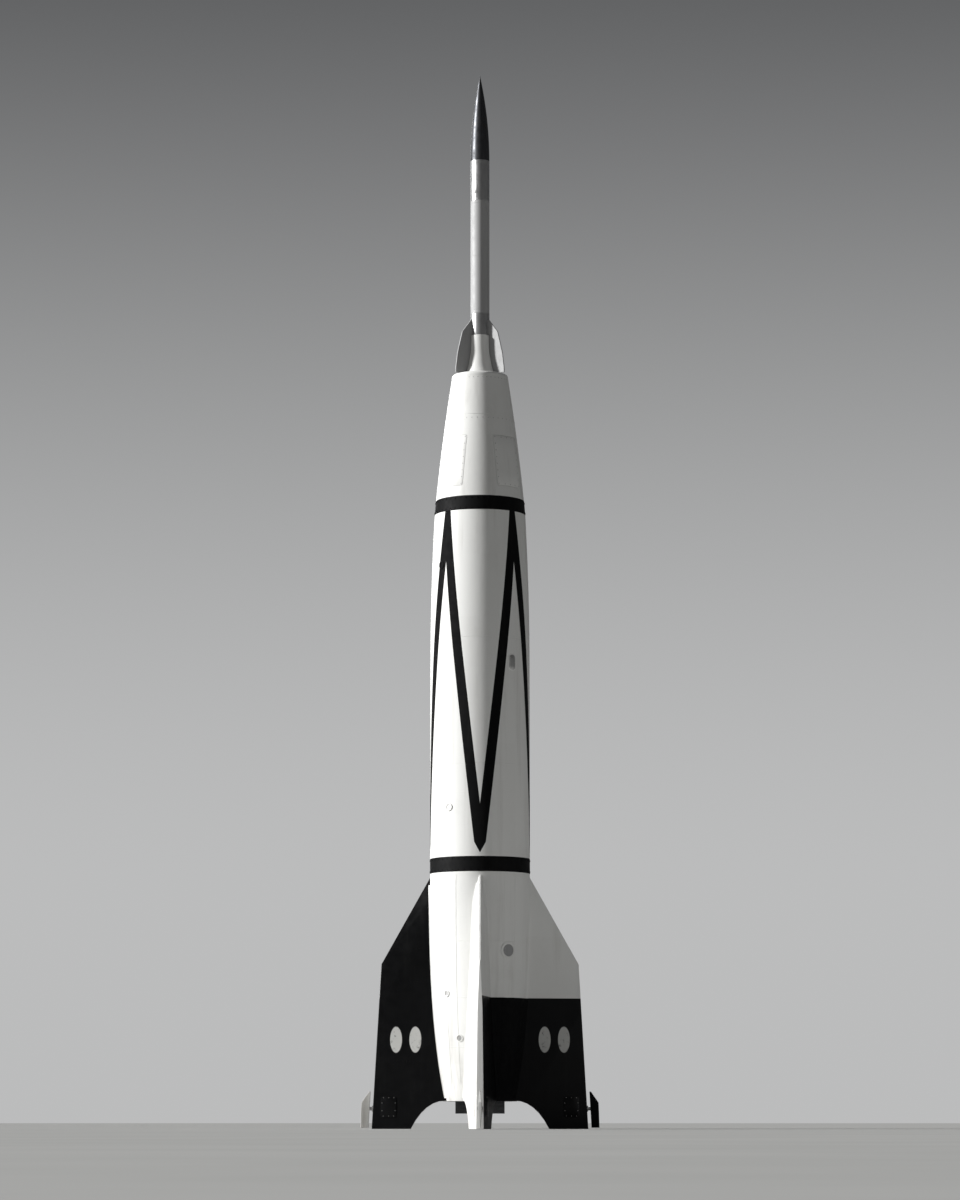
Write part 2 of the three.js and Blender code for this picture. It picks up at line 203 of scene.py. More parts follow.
# White paint with its grime and the tone of each plate
def whitePaint(paint, soot=1.0):
    streaks = paint.noise(5.0, 5, 0.6, (1, 1, 0.06))
    mottle = paint.noise(1.3, 6, 0.6)
    plates = (paint.turn * (wear["platesRound"] / math.tau)).maths("FLOOR")
    rows = (paint.z / wear["plateTall"]).maths("FLOOR")
    both = plates.node("CombineXYZ", {"X": plates, "Y": rows, "Z": 0.0})
    tone = both.node("TexWhiteNoise", {"Vector": both}, noise_dimensions="3D")
    dirt = streaks.rise(0.50, 0.74) * wear["streaks"] + mottle.rise(0.52, 0.80) * wear["mottle"]
    nearRim = 1 - paint.z.rise(wear["rimFrom"], wear["rimTo"])
    rim = nearRim * streaks.rise(0.30, 0.72) * (wear["rimSoot"] * soot)
    worn = (dirt + tone * wear["plateTone"] + rim).smallest(wear["most"])
    return worn.between(rgba(*scheme["white"]), rgba(*scheme["grime"]))


def blackPaint(paint):
    streaks = paint.noise(6.0, 5, 0.62, (1, 1, 0.07))
    fine = paint.noise(22.0, 4, 0.6)
    dust = streaks.rise(0.50, 0.82) * wear["blackStreaks"] + fine.rise(0.55, 0.85) * wear["blackSpecks"]
    return dust.between(rgba(*scheme["black"]), rgba(*scheme["dust"]))


def paintGloss(paint, base):
    return paint.noise(9.0, 4, 0.6).rise(0.2, 0.9) * 0.16 + base


# The largest of several signals
def anyOf(signals):
    together = signals[0]
    for signal in signals[1:]:
        together = together.largest(signal)
    return together


# Rows of sunk welds on the frames, and the skin's slight waves between them
def skinRelief(paint, heights):
    waves = paint.noise(2.4, 3, 0.5, (1, 1, 0.6)) * relief["waveShare"]
    dots = (paint.turn * (relief["weldsRound"] / math.tau)).maths("FRACT")
    dots = 1 - abs(dots - 0.5).rise(0.10, 0.22)
    half, soft = relief["weldHalf"], relief["weldSoft"]
    rows = anyOf([1 - abs(paint.z - height).rise(half - soft, half + soft) for height in heights])
    return waves - dots * rows * relief["weldShare"]


def makeSkinPaint(name, heights, pattern=None):
    paint = Paint(name)
    colour = whitePaint(paint)
    gloss = paintGloss(paint, 0.36)
    if pattern is not None:
        mask = pattern(paint)
        colour = mask.between(colour, blackPaint(paint))
        gloss = gloss + mask * 0.46
    bump = skinRelief(paint, heights)
    return paint.finish(colour, gloss, bump=bump, bumpDepth=relief["skinDepth"], specular=scheme["specular"])


# Black lower part of the quarters where x and y have different signs
def quarterMask(paint):
    edge = paint.noise(30.0, 2) * 0.006
    below = 1 - (paint.z + edge).rise(scheme["blackTop"] + 0.001, scheme["blackTop"] + 0.005)
    return below * (paint.x * paint.y < 0)


# Zig-zag: lines fall from halfway between the fins at the upper ring to the fins' planes at the lower one
def zigzagMask(paint):
    quarter = (paint.turn / (math.pi / 2)).maths("FRACT")
    away = 0.5 - abs(quarter - 0.5)  # 0 in a fin's plane, 0.5 halfway
    reach = skin["radius"] * math.pi / 2
    slope = 0.5 / (scheme["lineHigh"] - scheme["lineLow"])
    line = abs(away - (paint.z - scheme["lineLow"]) * slope) * reach
    half, soft = scheme["lineWidth"] / 2, scheme["edgeSoft"]
    tip = (paint.z - scheme["lineTip"]) * scheme["tipSlope"] - away * reach
    return (1 - line.rise(half - soft, half + soft)) * tip.rise(-soft, soft)


def ovalMask(paint):
    wide, tall = scheme["markHalf"]
    side, up = abs(paint.x), (paint.z - scheme["markHeight"]) / tall
    shares = [(side - middle) / wide for middle in scheme["markRadii"]]
    return anyOf([1 - (across * across + up * up).rise(0.88, 1.06) for across in shares])


# A fin's face: all white, white above and black below, or all black, with the oval marks where asked
def makeFinPaint(name, black=None, marks=False):
    paint = Paint(name)
    colour = whitePaint(paint, 0.7)
    gloss = paintGloss(paint, 0.38)
    if black == "all":
        colour = blackPaint(paint)
        gloss = gloss - 0.06
    elif black == "below":
        mask = 1 - paint.z.rise(scheme["blackTop"], scheme["blackTop"] + 0.005)
        colour = mask.between(colour, blackPaint(paint))
        gloss = gloss - mask * 0.06
    if marks:
        left = paint.noise(14.0, 5, 0.65).rise(0.22, 0.45) * wear["markLeft"]
        colour = (ovalMask(paint) * left).between(colour, rgba(*scheme["mark"]))
    ribs = skinRelief(paint, relief["fin"])
    return paint.finish(colour, gloss, bump=ribs, bumpDepth=relief["finDepth"], specular=scheme["specular"])


def makeBlackPaint(name):
    paint = Paint(name)
    grain = paint.noise(60.0, 4, 0.6)
    return paint.finish(blackPaint(paint), paintGloss(paint, 0.60), bump=grain, bumpDepth=0.0004, specular=0.10)


# Pale grey paint, metallic on the second stage: fine streaks and a few scuffs
def makeSilverPaint(name, pale, dark, metallic, base):
    paint = Paint(name)
    streaks = paint.noise(14.0, 5, 0.6, (1, 1, 0.05))
    scuffs = paint.noise(7.0, 6, 0.7)
    dirt = streaks.rise(0.45, 0.8) * 0.35 + scuffs.rise(0.58, 0.8) * 0.3
    colour = dirt.between(rgba(pale), rgba(dark))
    gloss = scuffs.rise(0.3, 0.8) * 0.16 + base
    return paint.finish(colour, gloss, metallic=metallic, bump=scuffs, bumpDepth=0.0005)


def makeSteel(name, pale, dark, stain, metallic=0.9, rough=0.34, soot=None):
    paint = Paint(name)
    grain = paint.noise(40.0, 5, 0.65, (1, 1, 0.12))
    blotch = paint.noise(6.0, 6, 0.65)
    colour = (grain * 0.6 + blotch * 0.4).rise(0.3, 0.72).between(rgba(*pale), rgba(*dark))
    colour = (blotch.rise(0.52, 0.7) * 0.6).between(colour, rgba(*stain))
    if soot:
        low, high = soot
        colour = ((1 - paint.z.rise(low, high)) * 0.8).between(colour, rgba(*scheme["soot"]))
    gloss = blotch.rise(0.3, 0.75) * 0.25 + rough
    return paint.finish(colour, gloss, metallic=metallic, bump=grain, bumpDepth=0.0006)


def makeGraphite(name, dark, pale):
    paint = Paint(name)
    grain = paint.noise(90.0, 4, 0.7)
    layers = paint.noise(25.0, 3, 0.5, (0.2, 0.2, 1))
    colour = (grain * 0.5 + layers * 0.5).rise(0.3, 0.7).between(rgba(*dark), rgba(*pale))
    return paint.finish(colour, grain * 0.2 + 0.5, metallic=0.15, bump=grain, bumpDepth=0.0008)


paints = {
    "tail": makeSkinPaint("tailPaint", relief["tail"], quarterMask),
    "tank": makeSkinPaint("tankPaint", relief["tank"], zigzagMask),
    "bay": makeSkinPaint("bayPaint", relief["bay"]),
    "finWhite": makeFinPaint("finWhitePaint"),
    "finHalf": makeFinPaint("finHalfBlackPaint", "below"),
    "finHalfMarked": makeFinPaint("finHalfMarkedPaint", "below", True),
    "finBlackMarked": makeFinPaint("finBlackMarkedPaint", "all", True),
    "black": makeBlackPaint("blackPaint"),
    "cover": makeSilverPaint("coverPaint", 0.30, 0.22, 0.0, 0.55),
    "silver": makeSilverPaint("silverPaint", 0.37, 0.25, 0.1, 0.55),
    "bright": makeSilverPaint("brightSilver", 0.42, 0.24, 0.9, 0.36),
    "steel": makeSteel("bareSteel", (0.52, 0.52, 0.51), (0.36, 0.355, 0.35), (0.30, 0.25, 0.20)),
    "burnt": makeSteel(
        "burntSteel", (0.24, 0.225, 0.215), (0.12, 0.105, 0.10), (0.20, 0.13, 0.09), 0.8, 0.42, (0.5, 0.95)
    ),
    "noseMetal": makeSteel("noseMetal", (0.085, 0.087, 0.092), (0.05, 0.052, 0.056), (0.07, 0.06, 0.052), 0.95, 0.38),
    "graphite": makeGraphite("graphite", (0.035, 0.035, 0.038), (0.09, 0.09, 0.095)),
}
print("materials made:", len(paints))


# Rounds edges, or corners when affect says so
def bevel(bm, geom, width, segments, affect="EDGES", clamp=False):
    bmesh.ops.bevel(
        bm, geom=geom, offset=width, segments=segments, profile=0.5, affect=affect, material=-1, clamp_overlap=clamp
    )


# The vertices in what an operator returns
def vertsOf(geom):
    return [g for g in geom if isinstance(g, bmesh.types.BMVert)]


# Turns a [radius, height] outline about the axis
def spin(outline, steps=192, ring=True):
    bm = bmesh.new()
    points = [bm.verts.new((radius, 0, height)) for radius, height in outline]
    ends = points[1:] + (points[:1] if ring else [])
    edges = [bm.edges.new(pair) for pair in zip(points, ends)]
    bmesh.ops.spin(
        bm, geom=points + edges, cent=(0, 0, 0), axis=(0, 0, 1), angle=math.tau, steps=steps, use_merge=True
    )
    bmesh.ops.remove_doubles(bm, verts=bm.verts, dist=1e-5)
    bmesh.ops.recalc_face_normals(bm, faces=bm.faces)
    return bm


# A bell: its outer outline and a wall inside it
def spinBell(outer, wall, steps):
    return spin(outer + [(radius - wall, height) for radius, height in outer][::-1], steps)


# Outline points up the skin, with a shallow groove at each seam
def skinOutline(low, high, pitch, seams=(), inset=0.0, groove=(0.005, 0.003), radiusAt=skinRadius):
    half, depth = groove
    cuts = [[(s - half, 0), (s - half * 0.5, depth), (s + half * 0.5, depth), (s + half, 0)] for s in seams]
    count = max(2, round((high - low) / pitch))
    plain = [low + (high - low) * k / count for k in range(count + 1)]
    marks = [(z, 0) for z in plain if all(abs(z - s) > 2 * half for s in seams)]
    marks = sorted(marks + [point for cut in cuts for point in cut])
    return [(radiusAt(z) - inset - sunk, z) for z, sunk in marks]


# Lays a flat piece on the skin: x runs round the body, y up it and z outwards
def wrap(bm, azimuth, radiusAt=skinRadius):
    for v in bm.verts:
        across, height, out = v.co
        radius = radiusAt(height)
        angle = azimuth + math.asin(max(-1, min(1, across / radius)))
        v.co = ((radius + out) * math.cos(angle), (radius + out) * math.sin(angle), height)
    return bm


# A flat plate with rounded corners and a softened upper edge, sliced so that it can bend
def plate(width, height, corner, thick, edge, middle, slices=(0.04, 0.2)):
    bm = bmesh.new()
    bmesh.ops.create_grid(bm, x_segments=1, y_segments=1, size=0.5, matrix=Matrix.Diagonal((width, height, 1, 1)))
    if corner:
        bevel(bm, bm.verts[:], corner, 5, "VERTICES")
    grown = bmesh.ops.extrude_face_region(bm, geom=bm.faces[:], use_keep_orig=True)["geom"]
    bmesh.ops.translate(bm, verts=vertsOf(grown), vec=(0, 0, thick))
    bmesh.ops.recalc_face_normals(bm, faces=bm.faces)
    rim = [e for e in bm.edges if all(v.co.z > thick / 2 for v in e.verts)]
    bevel(bm, rim, edge, 2)
    for axis, length in ((0, width), (1, height)):
        cuts = int(length / slices[axis])
        for k in range(1, cuts):
            spot, facing = [0, 0, 0], [0, 0, 0]
            spot[axis] = -length / 2 + length * k / cuts
            facing[axis] = 1
            bmesh.ops.bisect_plane(bm, geom=bm.verts[:] + bm.edges[:] + bm.faces[:], plane_co=spot, plane_no=facing)
    bmesh.ops.translate(bm, verts=bm.verts, vec=middle)
    return bm


# Joins one bmesh to another, and gives its faces a material
def join(bm, other, paintIndex=0):
    for face in other.faces:
        face.material_index = paintIndex
    mesh = bpy.data.meshes.new("joined")
    other.to_mesh(mesh)
    other.free()
    bm.from_mesh(mesh)
    bpy.data.meshes.remove(mesh)


# Place of a small part on the skin, its z outwards and its y up
def onSkin(azimuth, height, out, radiusAt=skinRadius):
    return turned(azimuth, radiusAt(height) + out, 0, height) @ lieOutward @ Matrix.Rotation(math.pi / 2, 4, "Z")


# A screw or rivet head, with its radius and height as its size
def stud(bm, place, size, sides=6, paintIndex=0, taper=0.7):
    radius, tall = size
    made = bmesh.ops.create_cone(
        bm, cap_ends=True, segments=sides, radius1=radius, radius2=radius * taper, depth=tall, matrix=place
    )
    for face in {f for v in made["verts"] for f in v.link_faces}:
        face.material_index = paintIndex


# Rings of studs round a skin
def studRings(bm, heights, count, size, out, sides=6, paintIndex=0, taper=0.7, radiusAt=skinRadius):
    for azimuth in around(count):
        for height in heights:
            stud(bm, onSkin(azimuth, height, out, radiusAt), size, sides, paintIndex, taper)


# A block with its middle at a place
def block(bm, place, size):
    bmesh.ops.create_cube(bm, size=1, matrix=place @ Matrix.Diagonal((*size, 1)))


def toObject(bm, name, sharp):
    mesh = bpy.data.meshes.new(name)
    bm.to_mesh(mesh)
    bm.free()
    mesh.shade_smooth()
    mesh.set_sharp_from_angle(angle=math.radians(sharp))
    made = bpy.data.objects.new(name, mesh)
    bpy.context.scene.collection.objects.link(made)
    return made


def piece(bm, name, finishes, replaced=(), slot="white_paint", body="booster", sharp=32, evenShading=False):
    made = toObject(bm, name, sharp)
    for finish in finishes:
        made.data.materials.append(paints[finish])
    if evenShading:
        made.modifiers.new("evenShading", "WEIGHTED_NORMAL").keep_sharp = True
    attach(made, body)
    if replaced:
        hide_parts(*replaced)


# Cuts one closed shape out of another
def carve(bm, cutter):
    target, tool = toObject(bm, "carved", 180), toObject(cutter, "cutter", 180)
    cut = target.modifiers.new("cut", "BOOLEAN")
    cut.operation, cut.solver, cut.object = "DIFFERENCE", "EXACT", tool
    ready = target.evaluated_get(bpy.context.evaluated_depsgraph_get())
    result = bmesh.new()
    result.from_mesh(ready.to_mesh())
    ready.to_mesh_clear()
    for used in (target, tool):
        mesh = used.data
        bpy.data.objects.remove(used)
        bpy.data.meshes.remove(mesh)
    bmesh.ops.remove_doubles(result, verts=result.verts, dist=1e-5)
    return result


# A node's own shape, merged and with its flat faces whole
def copyOf(nodeName):
    bm = bmesh.new()
    bm.from_mesh(nodes[nodeName].data)
    bmesh.ops.remove_doubles(bm, verts=bm.verts, dist=1e-4)
    bmesh.ops.dissolve_limit(bm, angle_limit=math.radians(0.6), verts=bm.verts, edges=bm.edges)
    for face in bm.faces:
        face.material_index = 0
    return bm


def soften(bm, width, segments, degrees, wanted=lambda edge: True):
    limit = math.radians(degrees)
    edges = [e for e in bm.edges if e.is_manifold and e.calc_face_angle(0) > limit and wanted(e)]
    bevel(bm, edges, width, segments, clamp=True)
    return bm


# A node's own shape with its edges softened, as a piece in its place
def softened(nodeName, name, finishes, edge, segments=2, degrees=25, wanted=lambda edge: True, **settings):
    bm = soften(copyOf(nodeName), edge, segments, degrees, wanted)
    piece(bm, name, finishes, [nodeName], evenShading=True, **settings)


embed = 0.001  # how deep the thin pieces sit in the skin


# A lap strap up the skin, with a row of rivets along each side
def addStrap(straps, azimuth, low, high, form, rivetTurn):
    length, thick = high - low, form["strapThick"]
    middle = (0, (low + high) / 2, -embed)
    strap = plate(form["strapWidth"], length, 0, thick + embed, form["strapEdge"], middle, form["strapSlices"])
    join(straps, wrap(strap, azimuth))
    for k in range(int(length / form["rivetPitch"])):
        height = low + form["rivetPitch"] * (k + 0.5)
        for side in (-1, 1):
            stud(straps, onSkin(azimuth + side * rivetTurn(height), height, thick), form["rivet"])


# Tail section
tail = {
    "wall": 0.03, "seams": (1.32, 2.13, 3.05), "pitch": 0.12, "steps": 200, "rimEdge": 0.006,
    "strapWidth": 0.034, "strapThick": 0.002, "strapEdge": 0.0008, "strapSlices": (0.02, 0.12),
    "strapTurns": (29.5, 45, 60.5), "strapLow": 0.74, "strapHigh": 4.15,
    "rivet": (0.005, 0.003), "rivetPitch": 0.06, "rivetAside": 0.011,
}


def makeTail():
    low, high = levels("tail_shell")
    outer = skinOutline(low, high, tail["pitch"], tail["seams"])
    inner = skinOutline(low, high, tail["pitch"] * 3, (), tail["wall"])
    bm = spin(outer + inner[::-1], tail["steps"])
    foot = [e for e in bm.edges if all(v.co.z < low + 1e-4 for v in e.verts)]
    rim = [e for e in foot if len({round(v.co.xy.length, 3) for v in e.verts}) == 1]
    bevel(bm, rim, tail["rimEdge"], 3)
    piece(bm, "tail_skin", ["tail"], ["tail_shell"])

    # Lap straps between the fins
    straps = bmesh.new()
    rivetTurn = lambda height: tail["rivetAside"] / skinRadius(height)
    for quarter in range(4):
        for turn in tail["strapTurns"]:
            addStrap(straps, math.radians(90 * quarter + turn), tail["strapLow"], tail["strapHigh"], tail, rivetTurn)
    piece(straps, "tail_straps", ["tail"])
    print("tail section made")


makeTail()

# Joint rings with their bolts, and the necks of the sections that stand inside them
rings = {
    "proud": 0.004, "edge": 0.004, "depth": 0.12, "gap": 0.002,
    "bolts": 48, "bolt": (0.012, 0.008), "boltInset": 0.035,
}


def neckRadius(height):
    return skinRadius(height) - rings["depth"] - rings["gap"]


def makeRing(name):
    low, high = levels(name)
    edge, inset = rings["edge"], rings["boltInset"]
    below, above = [skinRadius(height) + rings["proud"] for height in (low, high)]
    inner = skinRadius(high) - rings["depth"]
    bm = spin([
        (inner, low), (below - edge, low), (below, low + edge),
        (above, high - edge), (above - edge, high), (inner, high),
    ])
    studRings(bm, (low + inset, high - inset), rings["bolts"], rings["bolt"], rings["proud"] + 0.002, taper=0.92)
    piece(bm, name + "_bolted", ["black"], [name], slot="black_paint")


makeRing("tail_joint_ring")
makeRing("bay_joint_ring")
print("joint rings made")

# A round port: a flange with screws, a stepped throat and a sunk centre. The outline's radii are shares of the port's
portForm = {
    "outline": (
        (1.45, -0.004), (1.45, 0.003), (1.40, 0.005), (1.08, 0.005),
        (1.02, 0.002), (1, -0.002), (0, -0.002), (0, -0.004),
    ),
    "proud": 0.006, "screws": 8, "screwCircle": 1.24, "screw": (0.0045, 0.003),
}


def makePort(name, azimuth, height, radius, finish, centre):
    bm = spin([(radius * share, level) for share, level in portForm["outline"]], 32)
    for face in bm.faces:
        middle = face.calc_center_median()
        sunk = middle.xy.length < radius and middle.z < 0 and face.normal.z > 0.5
        face.material_index = 1 if sunk else 0
    reach, proud = radius * portForm["screwCircle"], portForm["proud"]
    for turn in around(portForm["screws"]):
        stud(bm, Matrix.Translation((reach * math.cos(turn), reach * math.sin(turn), proud)), portForm["screw"])
    for v in bm.verts:
        v.co.y += height
        v.co.z += proud
    piece(wrap(bm, azimuth), name, [finish, centre])


# Tank section: two half shells joined in the plane of fins 2 and 4
tank = {
    "seams": (5.96, 8.06), "pitch": 0.25,
    "strapWidth": 0.05, "strapThick": 0.0025, "strapEdge": 0.001, "strapSlices": (0.025, 0.25), "strapGap": 0.01,
    "rivet": (0.005, 0.003), "rivetPitch": 0.07, "rivetTurn": 0.0205,
    "fillers": ((-50, 7.65), (130, 7.65)), "fillerSize": (0.12, 0.25), "fillerCorner": 0.055, "fillerBorder": 0.015,
    "fillerSlices": (0.03, 0.08), "fillerScrew": (0.006, 0.004), "screwMargins": (0.014, 0.06),
    "valves": ((-128, 5.25), (52, 5.25), (-143, 9.3), (37, 9.3)), "valveRadius": 0.045,
}


def makeTank():
    lowSkin = levels("tail_joint_ring")[1]
    highSkin, ringTop = levels("bay_joint_ring")
    low, high = levels("tank_section")
    below, above = neckRadius(lowSkin), neckRadius(ringTop)
    outline = [(0, low), (below, low), (below, lowSkin)]
    outline += skinOutline(lowSkin, highSkin, tank["pitch"], tank["seams"])
    outline += [(above, highSkin), (above, high), (0, high)]
    piece(spin(outline, ring=False), "tank_skin", ["tank"], ["tank_section"])

    straps = bmesh.new()
    ends = (lowSkin + tank["strapGap"], highSkin - tank["strapGap"])
    for azimuth in (0, math.pi):
        addStrap(straps, azimuth, *ends, tank, lambda height: tank["rivetTurn"])
    piece(straps, "tank_straps", ["tank"])

    (width, tall), corner, border = tank["fillerSize"], tank["fillerCorner"], tank["fillerBorder"]
    slices, (aside, short) = tank["fillerSlices"], tank["screwMargins"]
    for k, (turn, height) in enumerate(tank["fillers"], 1):
        azimuth = math.radians(turn)
        size = (width + 2 * border, tall + 2 * border, corner + border)
        door = plate(*size, 0.005, 0.0015, (0, height, -embed), slices)
        join(door, plate(width, tall, corner, 0.007, 0.002, (0, height, 0.001), slices), 1)
        wrap(door, azimuth)
        for side in (-1, 1):
            for row in (-0.4, 0, 0.4):
                lean = azimuth + side * (width / 2 - aside) / skinRadius(height)
                stud(door, onSkin(lean, height + row * (tall - short), 0.008), tank["fillerScrew"])
        piece(door, f"filler_door_{k}", ["tank", "steel"])

    for k, (turn, height) in enumerate(tank["valves"], 1):
        makePort(f"vent_{k}", math.radians(turn), height, tank["valveRadius"], "tank", "tank")
    print("tank section made")


makeTank()

# Small ports on the tail, seen in the photo on the near side and repeated half a turn on
ports = {
    "large": {"turn": -55, "height": 2.90, "radius": 0.1, "centre": "cover"},
    "middle": {"turn": -133.6, "height": 2.20, "radius": 0.038, "centre": "steel"},
    "small": {"turn": -117, "height": 1.47, "radius": 0.042, "centre": "steel"},
}
for portName, port in ports.items():
    for k in (0, 1):
        azimuth = math.radians(port["turn"] + 180 * k)
        makePort(f"tail_port_{portName}_{k + 1}", azimuth, port["height"], port["radius"], "tail", port["centre"])

# Instrument bay and its four screwed hatches
bay = {
    "pitch": 0.15, "hatchLow": 10.62, "hatchHigh": 11.48, "width": 0.52, "depth": 0.012, "bed": 0.0005, "seam": 0.004,
    "corner": 0.028, "proud": 0.001, "screws": (4, 7), "screw": (0.009, 0.003), "screwInset": 0.028,
}


def makeBay():
    lowSkin = levels("bay_joint_ring")[1]
    low, top = levels("instrument_bay")
    neck = neckRadius(lowSkin)
    outline = [(0, low), (neck, low), (neck, lowSkin)] + skinOutline(lowSkin, top, bay["pitch"]) + [(0, top)]
    bm = spin(outline, ring=False)
    width, depth, bed, inset = bay["width"], bay["depth"], bay["bed"], bay["screwInset"]
    tall = bay["hatchHigh"] - bay["hatchLow"]
    middle = (bay["hatchHigh"] + bay["hatchLow"]) / 2
    margin = 2 * bay["seam"]
    across, up = bay["screws"]
    for n in finNumbers:
        azimuth = finAngle(n) + math.pi / 4
        cutter = plate(width + margin, tall + margin, bay["corner"], 0.03, 0.001, (0, middle, -depth))
        bm = carve(bm, wrap(cutter, azimuth))
        hatch = plate(width, tall, bay["corner"], depth + bay["proud"] - bed, 0.002, (0, middle, bed - depth))
        wrap(hatch, azimuth)
        rows = [(x, y) for x in (-1, 1) for y in [2 * k / up - 1 for k in range(up + 1)]]
        rows += [(x, y) for y in (-1, 1) for x in [2 * k / across - 1 for k in range(1, across)]]
        for x, y in rows:
            height = middle + y * (tall / 2 - inset)
            lean = math.asin(x * (width / 2 - inset) / skinRadius(height))
            stud(hatch, onSkin(azimuth + lean, height, bay["proud"] + 0.001), bay["screw"], 10, 1)
        piece(hatch, f"hatch_plate_{n}", ["bay", "steel"], [f"bay_hatch_{n}"])
    piece(bm, "bay_skin", ["bay"], ["instrument_bay"])
    print("instrument bay made")


makeBay()

# Nose fairing, nose cap with its slotted collar, and the seat inside
nose = {
    "wall": 0.025, "seams": (11.84,), "pitch": 0.08, "screws": 40, "screw": (0.008, 0.003), "screwInset": 0.03,
    "slotReach": 0.427, "slotWidth": 0.048, "slotTall": 2,
    "capEdge": 0.004, "capTop": 12.595, "capScrews": 30, "capScrew": (0.008, 0.004), "capScrewRadii": (0.425, 0.325),
    "shoulder": (
        (0.4735, 12.545), (0.4700, 12.562), (0.4640, 12.576), (0.4550, 12.588), (0.4440, 12.594), (0.4300, 12.595),
    ),
    "collar": (
        (0.304, 12.595), (0.296, 12.598), (0.290, 12.608), (0.267, 12.665), (0.246, 12.72), (0.229, 12.80),
        (0.213, 12.88), (0.2015, 12.94), (0.1945, 13.00), (0.190, 13.09), (0.187, 13.18),
    ),
    "collarInside": ((0.183, 12.98), (0.235, 12.72)), "collarBase": 0.294, "collarTop": 0.184, "collarWall": 0.011,
}


def makeNose():
    low, high = levels("nose_fairing")
    outer = skinOutline(low, high, nose["pitch"], nose["seams"])
    inner = skinOutline(low, high, nose["pitch"] * 2, (), nose["wall"])
    bm = spin(outer + inner[::-1])
    inset = nose["screwInset"]
    studRings(bm, (low + inset, high - inset), nose["screws"], nose["screw"], 0.001, 8, 1)
    piece(bm, "fairing_skin", ["bay", "steel"], ["nose_fairing"])

    low, high = levels("nose_cap")
    edge, wall, top = nose["capEdge"], nose["collarWall"], nose["collarTop"]
    outline = [(skin["noseTopRadius"], low), *nose["shoulder"], *nose["collar"]]
    outline += [(top + 0.001, high - edge), (top - edge, high), (top - wall + edge, high), (top - wall, high - edge)]
    outline += [*nose["collarInside"], (nose["collarBase"] - wall, low)]
    cap = spin(outline)
    perFin = nose["capScrews"] // len(upperFinNumbers)
    for k in range(nose["capScrews"]):
        azimuth = upperFinAngle(1) + math.tau * k / nose["capScrews"]
        if k % perFin:  # none in the fins' slots
            for radius in nose["capScrewRadii"]:
                stud(cap, turned(azimuth, radius, 0, nose["capTop"] + 0.001), nose["capScrew"], 8, 1)
    for n in upperFinNumbers:
        cutter = bmesh.new()
        place = turned(upperFinAngle(n), nose["slotReach"] / 2, 0, high)
        block(cutter, place, (nose["slotReach"], nose["slotWidth"], nose["slotTall"]))
        cap = carve(cap, cutter)
    piece(cap, "nose_cap_slotted", ["bay", "steel"], ["nose_cap"], sharp=28)

    softened("upper_stage_seat", "seat_ring", ["steel"], 0.004, slot="bare_metal")
    print("nose made")


makeNose()


# A surface finder for a node: where a line across it meets its faces
def surfaceOf(nodeName):
    bm = copyOf(nodeName)
    bmesh.ops.triangulate(bm, faces=bm.faces)
    tree = BVHTree.FromBMesh(bm)
    bm.free()
    return tree


# Fins. Rivets follow the ribs, and columns given by their inset from the outer edge and their lowest level; along the
# ribs they keep "clear" of the cover, this far beside its middle and up to this level
fins = {
    "edge": 0.009, "stripWide": 0.03, "stripThick": 0.004, "stripLow": 0.5, "stripHigh": 4.0, "stripSteps": 26,
    "stripLift": 0.0015, "rivet": (0.006, 0.003), "rivetPitch": 0.055, "ribs": (0.25, 0.62, 1.10, 1.75, 2.40, 2.95),
    "columns": ((0.05, 0.12), (0.30, 0.6)), "columnEnds": (0.12, 2.62), "nearRoot": 0.012, "nearBore": 0.034,
    "cover": {
        "middle": (1.50, 0.36), "size": (0.26, 0.34), "corner": 0.04, "thick": 0.006, "clear": (0.16, 0.6),
        "screws": 10, "screw": (0.007, 0.004), "screwInset": 0.02,
    },
    "boss": {"radius": 0.052, "from": 1.74, "to": 1.778, "bore": 0.64},
    "axisHeight": 0.33, "finFoot": 1.78, "cornerRadius": 1.63, "cornerHeight": 2.70, "rootTop": (0.825, 4.13),
}
# Paints of the face away from the black quarter and of the face towards it, for even and odd fins
finFaces = (("finBlackMarked", "finHalfMarked"), ("finWhite", "finHalf"))


# The side of fin n where the quarter is black below: 1 for the way round that angles grow
def blackSide(n):
    return 1 if n % 2 else -1


def towardsBlack(n):
    angle = finAngle(n)
    return Vector((-math.sin(angle), math.cos(angle), 0)) * blackSide(n)


# A fin's outer limit at a height: its leading edge or its outer edge
def finLimit(height):
    if height < fins["cornerHeight"]:
        share = height / fins["cornerHeight"]
        return fins["finFoot"] + (fins["cornerRadius"] - fins["finFoot"]) * share
    share = (height - fins["cornerHeight"]) / (fins["rootTop"][1] - fins["cornerHeight"])
    return fins["cornerRadius"] + (fins["rootTop"][0] - fins["cornerRadius"]) * share


def makeFin(n):
    bm = copyOf(f"fin_{n}")
    toBlack = towardsBlack(n)
    atRoot = lambda v: v.co.xy.length < skinRadius(v.co.z) + fins["nearRoot"]
    inBore = lambda v: max(abs(v.co.z - fins["axisHeight"]), abs(v.co.dot(toBlack))) < fins["nearBore"]
    soften(bm, fins["edge"], 3, 18, lambda e: not any(atRoot(v) or inBore(v) for v in e.verts))
    for face in bm.faces:  # told apart by where they look
        side = face.normal.dot(toBlack)
        if face.normal.z < -0.9:
            face.material_index = 2
        elif abs(side) > 0.3:
            face.material_index = 1 if side > 0 else 0
        else:
            face.material_index = 0 if n % 2 else 1
    slot = "black_paint" if n == 4 else "white_paint"
    piece(bm, f"fin_skin_{n}", [*finFaces[n % 2], "steel"], [f"fin_{n}"], slot=slot, sharp=26, evenShading=True)


